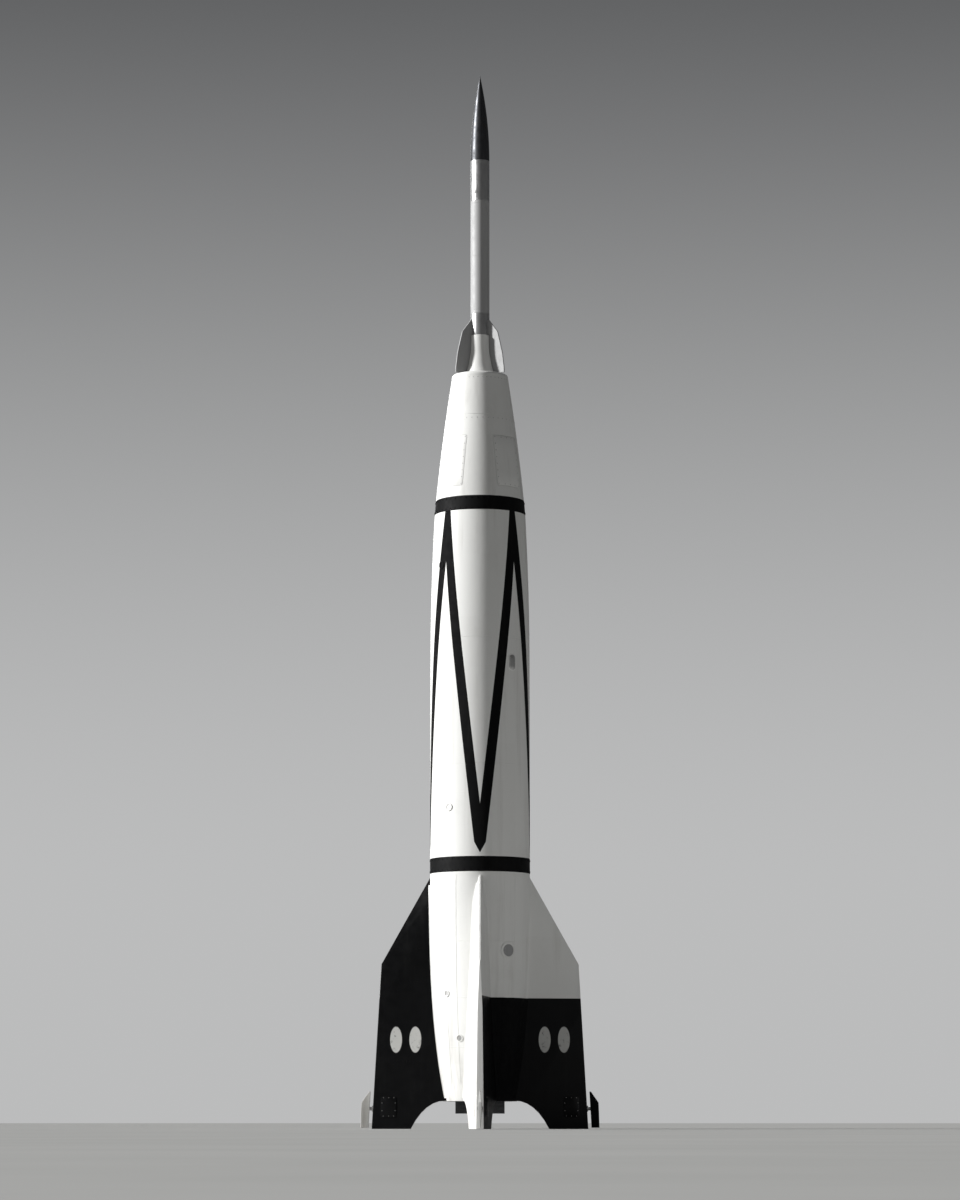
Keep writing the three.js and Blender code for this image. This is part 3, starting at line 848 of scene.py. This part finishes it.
# Rivets, root strips and covers are worked out on fin 2 and turned to each fin
def finDetails(n, surface):
    turn = Matrix.Rotation(finAngle(n), 4, "Z")
    cover = fins["cover"]
    (middle, level), (wide, tall), (beside, above) = cover["middle"], cover["size"], cover["clear"]
    for side in (-1, 1):
        finish = finFaces[n % 2][side == blackSide(n)]
        label = "a" if side < 0 else "b"

        def faceAt(radius, height):
            return surface.ray_cast(Vector((radius, side, height)), Vector((0, -side, 0)))[:2]

        def rivetAt(radius, height):
            hit, normal = faceAt(radius, height)
            if hit:
                upright = normal.to_track_quat("Z", "Y").to_matrix().to_4x4()
                stud(rivets, Matrix.Translation(hit) @ upright, fins["rivet"])

        rivets = bmesh.new()
        for height in fins["ribs"]:
            radius = max(skinRadius(height) + 0.07, 1.12 if height < 0.3 else 0)
            while radius < finLimit(height) - 0.05:
                if abs(radius - middle) >= beside or height >= above:
                    rivetAt(radius, height)
                radius += fins["rivetPitch"]
        for inset, start in fins["columns"]:
            height, end = fins["columnEnds"]
            while height < end:
                if height >= start:
                    rivetAt(finLimit(height) - inset, height)
                height += fins["rivetPitch"]
        bmesh.ops.transform(rivets, matrix=turn, verts=rivets.verts)
        piece(rivets, f"fin_{n}_rivets_{label}", [finish])

        # Root strip: an angle that joins the fin's face to the skin
        strip = bmesh.new()
        steps, leaf, lift = fins["stripSteps"], fins["stripWide"], fins["stripLift"]
        bmesh.ops.create_grid(strip, x_segments=3, y_segments=steps, size=0.5)
        for v in strip.verts:
            share, column = round((v.co.y + 0.5) * steps) / steps, round((v.co.x + 0.5) * 3)
            height = fins["stripLow"] + (fins["stripHigh"] - fins["stripLow"]) * share
            root, half = skinRadius(height), 0.02
            for _ in range(4):
                hit = faceAt(root + 0.003, height)[0]
                half = abs(hit.y) if hit else half
                root = math.sqrt(skinRadius(height) ** 2 - half ** 2)
            if column == 0:
                reach = half + leaf
                v.co = (math.sqrt(skinRadius(height) ** 2 - reach ** 2) + lift, side * reach, height)
            elif column == 1:
                v.co = (root + 0.003, side * (half + 0.007), height)
            elif column == 2:
                v.co = (root + 0.010, side * (half + lift), height)
            else:
                outer = faceAt(root + leaf, height)[0]
                v.co = (root + leaf, side * ((abs(outer.y) if outer else half) + lift), height)
        bmesh.ops.recalc_face_normals(strip, faces=strip.faces)
        bmesh.ops.solidify(strip, geom=strip.faces[:], thickness=fins["stripThick"])
        bmesh.ops.recalc_face_normals(strip, faces=strip.faces)
        bmesh.ops.transform(strip, matrix=turn, verts=strip.verts)
        piece(strip, f"fin_{n}_root_strip_{label}", ["tail"], sharp=50)

        # Cover over the rudder's chain drive
        hit, out = faceAt(middle, level)
        lid = plate(wide, tall, cover["corner"], cover["thick"] + 0.004, 0.002, (0, 0, -0.004), (1, 1))
        for angle in around(cover["screws"]):
            x = max(-1, min(1, 1.35 * math.cos(angle))) * (wide / 2 - cover["screwInset"])
            y = max(-1, min(1, 1.35 * math.sin(angle))) * (tall / 2 - cover["screwInset"])
            stud(lid, Matrix.Translation((x, y, cover["thick"] + 0.001)), cover["screw"], 8, 1)
        up = (Vector((0, 0, 1)) - out * out.z).normalized()
        place = Matrix((up.cross(out), up, out)).transposed().to_4x4()
        place.translation = hit
        bmesh.ops.transform(lid, matrix=turn @ place, verts=lid.verts)
        piece(lid, f"fin_{n}_drive_cover_{label}", [finish, "steel"], sharp=26)

    # Boss where the rudder's shaft leaves the fin
    form, axis = fins["boss"], fins["axisHeight"]
    boss = bmesh.new()
    length = form["to"] - form["from"]
    bmesh.ops.create_cone(
        boss, cap_ends=False, segments=40, radius1=form["radius"], radius2=form["radius"] * 0.9, depth=length,
        matrix=Matrix.Translation(((form["to"] + form["from"]) / 2, 0, axis)) @ lieOutward,
    )
    outerRim = [e for e in boss.edges if all(v.co.x > form["to"] - 1e-4 for v in e.verts)]
    lip = vertsOf(bmesh.ops.extrude_edge_only(boss, edges=outerRim)["geom"])
    centre = Matrix.Translation((0, 0, axis))
    shrink = Matrix.Diagonal((1, form["bore"], form["bore"], 1))
    bmesh.ops.transform(boss, matrix=centre @ shrink @ centre.inverted(), verts=lip)
    lipEdges = [e for e in boss.edges if all(v in lip for v in e.verts)]
    back = vertsOf(bmesh.ops.extrude_edge_only(boss, edges=lipEdges)["geom"])
    bmesh.ops.translate(boss, verts=back, vec=(-length, 0, 0))
    bmesh.ops.bridge_loops(boss, edges=[e for e in boss.edges if e.is_boundary])
    bmesh.ops.recalc_face_normals(boss, faces=boss.faces)
    bmesh.ops.transform(boss, matrix=turn, verts=boss.verts)
    piece(boss, f"fin_{n}_shaft_boss", ["steel"], slot="bare_metal")


finSurface = surfaceOf("fin_2")
for n in finNumbers:
    makeFin(n)
    finDetails(n, finSurface)
print("fins made")

# Air rudders and jet vanes, each on its own body
vanes = {
    "edge": 0.004, "axisHeight": 0.505, "rudderShaft": 0.19,
    "clampRadius": 0.055, "clampFrom": 0.404, "clampTo": 0.421,
}


def makeVanes(n):
    angle, toBlack = finAngle(n), towardsBlack(n)
    outward = Vector((math.cos(angle), math.sin(angle), 0))

    rudder = soften(copyOf(f"air_rudder_{n}"), vanes["edge"], 2, 30)
    inner = min(v.co.dot(outward) for v in rudder.verts)
    for face in rudder.faces:
        if face.calc_center_median().dot(outward) < inner + vanes["rudderShaft"]:
            face.material_index = 2
        else:
            face.material_index = 1 if face.normal.dot(toBlack) > 0.3 else 0
    piece(
        rudder, f"rudder_blade_{n}", ["finWhite", "black", "steel"], [f"air_rudder_{n}"],
        slot="black_paint", body=f"air_rudder_{n}", evenShading=True,
    )

    blade = soften(copyOf(f"jet_vane_{n}"), vanes["edge"], 3, 25)
    for face in blade.faces:
        face.material_index = 1 if face.calc_center_median().dot(outward) > vanes["clampFrom"] + 0.004 else 0
    piece(
        blade, f"vane_blade_{n}", ["graphite", "steel"], [f"jet_vane_{n}"],
        slot="graphite", body=f"jet_vane_{n}", evenShading=True,
    )

    clamp = bmesh.new()
    middle, thick = (vanes["clampFrom"] + vanes["clampTo"]) / 2, vanes["clampTo"] - vanes["clampFrom"]
    place = turned(angle, middle, 0, vanes["axisHeight"]) @ lieOutward
    stud(clamp, place, (vanes["clampRadius"], thick), 36, taper=1)
    soften(clamp, 0.002, 2, 60)
    piece(clamp, f"vane_clamp_{n}", ["burnt"], slot="bare_metal", body=f"jet_vane_{n}", evenShading=True)


for n in finNumbers:
    makeVanes(n)
print("rudders and vanes made")

# Base: bulkhead, aft ring, exhaust pipes, bell and motor
base = {
    "bell": (
        (0.370, 0.620), (0.345, 0.70), (0.322, 0.80), (0.301, 0.92), (0.284, 1.04), (0.267, 1.18), (0.238, 1.34),
        (0.205, 1.4997),
    ),
    "wall": 0.02, "coolingRings": (0.74, 0.90, 1.06),
    "hoop": ((-0.004, -0.012), (0.006, -0.010), (0.010, 0), (0.006, 0.010), (-0.004, 0.012)),
    "pipe": {"middle": 0.442, "radius": 0.042, "wall": 0.005, "low": 0.5, "high": 0.7, "turns": (45, 225)},
    "ribs": 20, "ribSize": (0.10, 0.012, 0.03), "ribRadius": 0.448,
    "rivets": 60, "rivetCircle": 0.393, "rivet": (0.005, 0.005),
    "bearings": {"radii": (0.448, 0.488), "aside": (-0.042, 0.042), "bolt": (0.0085, 0.008)},
    "bolts": 32, "boltCircle": 0.545, "bolt": (0.008, 0.006),
}


def makeBase():
    outer = list(base["bell"])
    bell = spinBell(outer, base["wall"], 128)
    for height in base["coolingRings"]:
        (r0, z0), (r1, z1) = [(a, b) for a, b in zip(outer, outer[1:]) if a[1] <= height <= b[1]][0]
        radius = r0 + (r1 - r0) * (height - z0) / (z1 - z0) + 0.002
        join(bell, spin([(radius + out, height + up) for out, up in base["hoop"]], 128))
    piece(bell, "bell_shell", ["burnt"], ["nozzle_bell"], slot="dark_metal", sharp=40)

    softened("motor_block", "motor_casing", ["burnt"], 0.01, slot="dark_metal")
    softened("base_bulkhead", "bulkhead_plate", ["steel"], 0.002, slot="bare_metal")

    ribs = bmesh.new()
    low = levels("base_bulkhead")[0]
    middle = low - base["ribSize"][2] / 2 + 0.002
    for turn in around(base["ribs"]):
        if min(abs(math.degrees(turn) - pipeTurn) for pipeTurn in (45, 225, 405)) >= 12:  # none beside the pipes
            block(ribs, turned(turn, base["ribRadius"], 0, middle), base["ribSize"])
    soften(ribs, 0.002, 2, 60)
    for turn in around(base["rivets"], 0):
        stud(ribs, turned(turn, base["rivetCircle"], 0, low - 0.002) @ faceDown, base["rivet"])
    piece(ribs, "bulkhead_ribs", ["steel"], slot="bare_metal", evenShading=True)

    softened("aft_ring", "aft_ring_casting", ["steel"], 0.004, 2, 40, slot="bare_metal")
    caps = bmesh.new()
    low, bearings = levels("aft_ring")[0], base["bearings"]
    for n in finNumbers:
        for x in bearings["radii"]:
            for y in bearings["aside"]:
                stud(caps, turned(finAngle(n), x, y, low - 0.003) @ faceDown, bearings["bolt"], taper=0.95)
    for turn in around(base["bolts"]):
        stud(caps, turned(turn, base["boltCircle"], 0, low - 0.002) @ faceDown, base["bolt"], taper=0.95)
    piece(caps, "aft_ring_bolts", ["steel"], slot="bare_metal")

    pipe = base["pipe"]
    wall, radius, low, high = pipe["wall"], pipe["radius"], pipe["low"], pipe["high"]
    for k, turn in enumerate(pipe["turns"], 1):
        tube = spin([
            (radius - wall, low + 0.001), (radius - wall / 2, low), (radius + 0.003, low + 0.001),
            (radius + 0.004, low + 0.006), (radius, low + 0.010), (radius, high), (radius - wall, high),
        ], 40)
        bmesh.ops.transform(tube, matrix=turned(math.radians(turn), pipe["middle"]), verts=tube.verts)
        piece(tube, f"exhaust_stub_{k}", ["burnt"], [f"exhaust_pipe_{k}"], slot="dark_metal", sharp=40)
    print("base made")


makeBase()

# Second stage
upperPaint = {"slot": "silver_paint", "body": "upper_stage"}
upper = {
    "radius": 0.16, "edge": 0.0015, "steps": 96, "screws": 16, "screw": (0.004, 0.002), "screwInset": 0.03,
    "sections": {
        "upper_tail_section": {"seams": (12.02, 13.60), "finish": "bright"},
        "upper_tank_section": {"seams": (13.71, 14.64, 15.55), "finish": "silver"},
        "upper_bay_section": {"seams": (15.66, 15.95, 16.24), "finish": "bright"},
    },
    "noseLow": 16.3, "noseHigh": 17.8, "noseSteps": 40, "tipRadius": 0.006,
    "hatch": {"size": (0.07, 0.16), "corner": 0.014, "height": 15.80, "turns": (-120, 60), "screw": (0.0035, 0.002)},
    "nozzle": ((0.105, 0), (0.099, 0.018), (0.090, 0.045), (0.078, 0.085), (0.067, 0.12)),
    "nozzleTop": 0.058, "nozzleWall": 0.012,
}


def upperRadius(height):
    return upper["radius"]


def noseRadius(height):
    length = upper["noseHigh"] - upper["noseLow"]
    arc = (upper["radius"] ** 2 + length ** 2) / (2 * upper["radius"])
    return math.sqrt(arc ** 2 - (height - upper["noseLow"]) ** 2) - (arc - upper["radius"])


def makeUpperStage():
    edge = upper["edge"]
    for name, section in upper["sections"].items():
        low, high = levels(name)
        side = skinOutline(low + edge, high - edge, 0.3, section["seams"], 0, (0.004, 0.002), upperRadius)
        outline = [(0, low), (upper["radius"] - edge, low)] + side + [(upper["radius"] - edge, high), (0, high)]
        bm = spin(outline, upper["steps"], ring=False)
        for height in (low + upper["screwInset"], high - upper["screwInset"]):
            studRings(bm, [height], upper["screws"], upper["screw"], 0.0005, 6, 1, radiusAt=upperRadius)
        piece(bm, name + "_skin", [section["finish"], "steel"], [name], **upperPaint)

    low, top, point = levels("upper_nose_cone")[0], upper["noseHigh"], upper["tipRadius"]
    shares = [1 - (1 - k / upper["noseSteps"]) ** 1.6 for k in range(upper["noseSteps"])]
    side = [(noseRadius(z), z) for z in [low + (top - low) * share for share in shares]]
    side = [(r, z) for r, z in side if r > point]
    tip = [(point * 0.8, top - 0.004), (point * 0.4, top - 0.001), (0, top)]
    cone = spin([(0, low)] + side + tip, upper["steps"], ring=False)
    piece(cone, "nose_cone_shell", ["noseMetal"], ["upper_nose_cone"], slot="dark_metal", body="upper_stage")

    hatch = upper["hatch"]
    (wide, tall), middle = hatch["size"], hatch["height"]
    for k, turn in enumerate(hatch["turns"], 1):
        azimuth = math.radians(turn)
        lid = plate(wide, tall, hatch["corner"], 0.003, 0.001, (0, middle, -embed), (0.012, 0.2))
        wrap(lid, azimuth, upperRadius)
        for x in (-1, 1):
            for y in (-1, 0, 1):
                lean = math.asin(x * (wide / 2 - 0.009) / upper["radius"])
                place = onSkin(azimuth + lean, middle + y * (tall / 2 - 0.012), 0.0025, upperRadius)
                stud(lid, place, hatch["screw"], 6, 1)
        piece(lid, f"upper_hatch_{k}", ["bright", "steel"], **upperPaint)

    low, high = levels("upper_nozzle")
    outer = [(r, low + up) for r, up in upper["nozzle"]] + [(upper["nozzleTop"], high)]
    bell = spinBell(outer, upper["nozzleWall"], 72)
    piece(bell, "upper_bell", ["burnt"], ["upper_nozzle"], slot="dark_metal", body="upper_stage", sharp=40)


makeUpperStage()

# Second stage's fins, each with an angle along its root
upperFins = {
    "edge": 0.0105, "nearRoot": 0.175, "screw": (0.0035, 0.002), "screwPitch": 0.065,
    "strip": {"low": 12.08, "high": 13.52, "wide": 0.018, "thick": 0.0025, "half": 0.012, "legRadius": 0.168},
}


def makeUpperFin(n):
    azimuth = upperFinAngle(n)
    outside = lambda e: any(v.co.xy.length > upperFins["nearRoot"] for v in e.verts)
    softened(f"upper_fin_{n}", f"upper_fin_blade_{n}", ["silver"], upperFins["edge"], 4, 30, outside, **upperPaint)
    strip = upperFins["strip"]
    wide, thick, half = strip["wide"], strip["thick"], strip["half"]
    tall, middle = strip["high"] - strip["low"], (strip["low"] + strip["high"]) / 2
    angles = bmesh.new()
    for side in (-1, 1):
        aside = side * (half + wide / 2 + 0.001)
        foot = plate(wide, tall, 0, thick, 0.0006, (aside, middle, 0), (0.01, 2))
        join(angles, wrap(foot, azimuth, upperRadius))
        leg = bmesh.new()
        block(leg, turned(azimuth, strip["legRadius"], side * (half + thick / 2), middle), (wide, thick, tall))
        join(angles, leg)
        lean = math.asin(aside / upper["radius"])
        for k in range(int(tall / upperFins["screwPitch"])):
            height = strip["low"] + upperFins["screwPitch"] * (k + 0.5)
            stud(angles, onSkin(azimuth + lean, height, thick + 0.0005, upperRadius), upperFins["screw"])
    piece(angles, f"upper_fin_angles_{n}", ["silver"], **upperPaint)


for n in upperFinNumbers:
    makeUpperFin(n)
print("second stage made")

# Floor, lights and camera: the camera stands at floor level and looks up at the rocket
studio = {
    "floor": (0.41, 0.41, 0.40), "floorTone": 0.94, "floorSize": 900, "world": (0.066, 0.067, 0.070),
    "backdrop": {"low": (0.50, 0.503, 0.505), "high": (0.075, 0.077, 0.080), "from": 0.0539, "to": 0.347},
    "key": {"from": (-1.0, -0.12, 0.42), "strength": 6.4, "soft": 6},
    "back": {"from": (-0.25, 1.0, 0.4), "strength": 0.7, "soft": 30},
    "fill": {"at": (10.0, -8.0, 3.3), "towards": (1.0, 0.0, 3.1), "power": 23, "size": 4, "spread": 70},
    "distance": 64.0, "cameraHeight": 0.1, "lens": 115.7, "pitch": 7.72,
}


def hang(name, kind, at, facing, **settings):
    lamp = bpy.data.lights.new(name, kind)
    for setting, value in settings.items():
        setattr(lamp, setting, value)
    light = bpy.data.objects.new(name, lamp)
    light.location = at
    light.rotation_mode = "QUATERNION"
    light.rotation_quaternion = Vector(facing).to_track_quat("Z", "Y")
    bpy.context.scene.collection.objects.link(light)


def makeStudio():
    bm = bmesh.new()
    bmesh.ops.create_grid(bm, x_segments=1, y_segments=1, size=studio["floorSize"])
    floor = toObject(bm, "floor", 180)
    paint = Paint("floorPaint")
    darker = [value * studio["floorTone"] for value in studio["floor"]]
    tone = paint.noise(0.4, 4).rise(0.3, 0.7).between(rgba(*studio["floor"]), rgba(*darker))
    floor.data.materials.append(paint.finish(tone, 1.0, specular=0.0))

    # The backdrop darkens upwards, and the rocket gets an even light from it
    world = bpy.data.worlds.new("studioWorld")
    world.use_nodes = True
    sky = Signal(world.node_tree, None)
    look = sky.node("TexCoord", {}, output=0)
    backdrop = studio["backdrop"]
    upwards = sky.node("SeparateXYZ", {0: look}, output=2).rise(backdrop["from"], backdrop["to"])
    wall = upwards.between(rgba(*backdrop["low"]), rgba(*backdrop["high"]))
    seen = sky.node("LightPath", {}, output=0)
    sky.feed(world.node_tree.nodes["Background"].inputs["Color"], seen.between(rgba(*studio["world"]), wall))
    bpy.context.scene.world = world

    for name in ("key", "back"):
        sun = studio[name]
        hang(name, "SUN", (0, 0, 0), sun["from"], energy=sun["strength"], angle=math.radians(sun["soft"]))
    # A wide low lamp, which lifts the shaded side of the tail more than that of the nose
    fill = studio["fill"]
    facing, spread = Vector(fill["at"]) - Vector(fill["towards"]), math.radians(fill["spread"])
    hang("fill", "AREA", fill["at"], facing, energy=fill["power"], size=fill["size"], spread=spread)

    camera = bpy.data.objects.new("camera", bpy.data.cameras.new("camera"))
    camera.data.lens = studio["lens"]
    camera.data.clip_end = 2000
    camera.location = (0, -studio["distance"], studio["cameraHeight"])
    camera.rotation_euler = (math.radians(90 + studio["pitch"]), 0, 0)
    bpy.context.scene.collection.objects.link(camera)
    bpy.context.scene.camera = camera
    bpy.context.scene.view_settings.view_transform = "Standard"
    print("studio made")


makeStudio()

for node in nodes.values():
    if not node.hide_render:
        print("still shown from the frame:", node.name)
